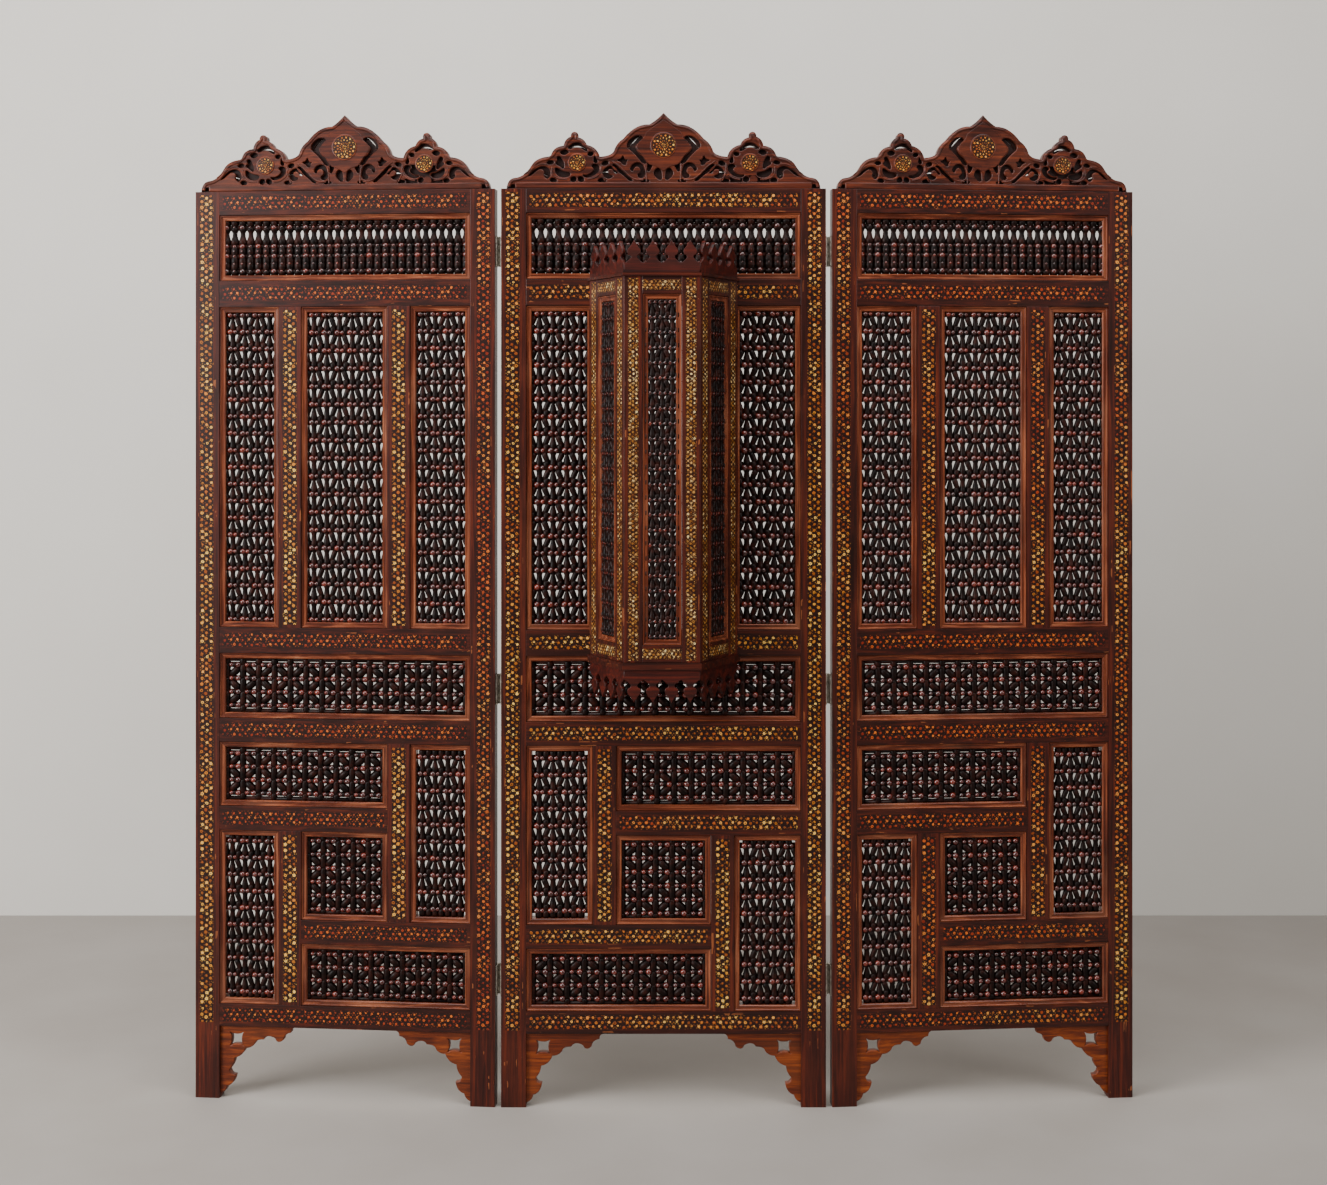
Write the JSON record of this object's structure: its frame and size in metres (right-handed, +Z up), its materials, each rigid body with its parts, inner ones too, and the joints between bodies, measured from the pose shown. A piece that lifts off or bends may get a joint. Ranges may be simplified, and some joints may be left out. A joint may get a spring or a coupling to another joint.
{
  "type": "mashrabiya screen",
  "caption": "Folding wooden floor screen of hinged wings with inlaid frames, turned lattice panels, pierced crests and a projecting lattice bay on the middle wing.",
  "frame": {"origin": "on the floor, in the middle of the whole screen's footprint box", "axes": "+X to the right seen from the front, +Y to the back, +Z up; the bay and the front face towards -Y"},
  "size_m": [1.9024, 0.2142, 1.9903],
  "materials": {
    "frame_wood": "stained reddish brown, satin varnish, inlaid with bands of small golden and orange pieces",
    "lattice_wood": "turned, stained nearly black-brown, glossy varnish",
    "carved_wood": "carved and pierced, stained reddish brown, satin varnish",
    "bay_wood": "inlaid with a fine golden-tan fret, satin varnish",
    "hinge_steel": "aged"
  },
  "bodies": {
    "centre_wing": {"bay_cresting": "carved_wood", "bay_floor": "bay_wood", "bay_front_frame": "bay_wood", "bay_front_lattice": "lattice_wood", "bay_left_frame": "bay_wood", "bay_left_lattice": "lattice_wood", "bay_right_frame": "bay_wood", "bay_right_lattice": "lattice_wood", "bay_roof": "bay_wood", "bay_skirt": "carved_wood", "centre_wing_crest": "carved_wood", "centre_wing_frame": "frame_wood", "centre_wing_frieze_lattice": "lattice_wood", "centre_wing_left_bracket": "carved_wood", "centre_wing_lower_bottom_lattice": "lattice_wood", "centre_wing_lower_middle_lattice": "lattice_wood", "centre_wing_lower_short_lattice": "lattice_wood", "centre_wing_lower_tall_lattice": "lattice_wood", "centre_wing_lower_top_lattice": "lattice_wood", "centre_wing_right_bracket": "carved_wood", "centre_wing_upper_left_lattice": "lattice_wood", "centre_wing_upper_right_lattice": "lattice_wood", "centre_wing_waist_lattice": "lattice_wood", "left_lower_hinge_fixed_leaf": "hinge_steel", "left_upper_hinge_fixed_leaf": "hinge_steel", "right_lower_hinge_fixed_leaf": "hinge_steel", "right_upper_hinge_fixed_leaf": "hinge_steel"},
    "left_wing": {"left_lower_hinge_moving_leaf": "hinge_steel", "left_upper_hinge_moving_leaf": "hinge_steel", "left_wing_crest": "carved_wood", "left_wing_frame": "frame_wood", "left_wing_frieze_lattice": "lattice_wood", "left_wing_left_bracket": "carved_wood", "left_wing_lower_bottom_lattice": "lattice_wood", "left_wing_lower_middle_lattice": "lattice_wood", "left_wing_lower_short_lattice": "lattice_wood", "left_wing_lower_tall_lattice": "lattice_wood", "left_wing_lower_top_lattice": "lattice_wood", "left_wing_right_bracket": "carved_wood", "left_wing_upper_left_lattice": "lattice_wood", "left_wing_upper_middle_lattice": "lattice_wood", "left_wing_upper_right_lattice": "lattice_wood", "left_wing_waist_lattice": "lattice_wood"},
    "right_wing": {"right_lower_hinge_moving_leaf": "hinge_steel", "right_upper_hinge_moving_leaf": "hinge_steel", "right_wing_crest": "carved_wood", "right_wing_frame": "frame_wood", "right_wing_frieze_lattice": "lattice_wood", "right_wing_left_bracket": "carved_wood", "right_wing_lower_bottom_lattice": "lattice_wood", "right_wing_lower_middle_lattice": "lattice_wood", "right_wing_lower_short_lattice": "lattice_wood", "right_wing_lower_tall_lattice": "lattice_wood", "right_wing_lower_top_lattice": "lattice_wood", "right_wing_right_bracket": "carved_wood", "right_wing_upper_left_lattice": "lattice_wood", "right_wing_upper_middle_lattice": "lattice_wood", "right_wing_upper_right_lattice": "lattice_wood", "right_wing_waist_lattice": "lattice_wood"}
  },
  "joints": [
    {"name": "left_wing_fold", "type": "hinge", "parent": "centre_wing", "child": "left_wing", "pos_m": [-0.33, 0.05402, 0.919], "axis": [0, 0, -1], "range_deg": [-18, 110]},
    {"name": "right_wing_fold", "type": "hinge", "parent": "centre_wing", "child": "right_wing", "pos_m": [0.33, 0.05402, 0.919], "axis": [0, 0, 1], "range_deg": [-18, 110]}
  ]
}
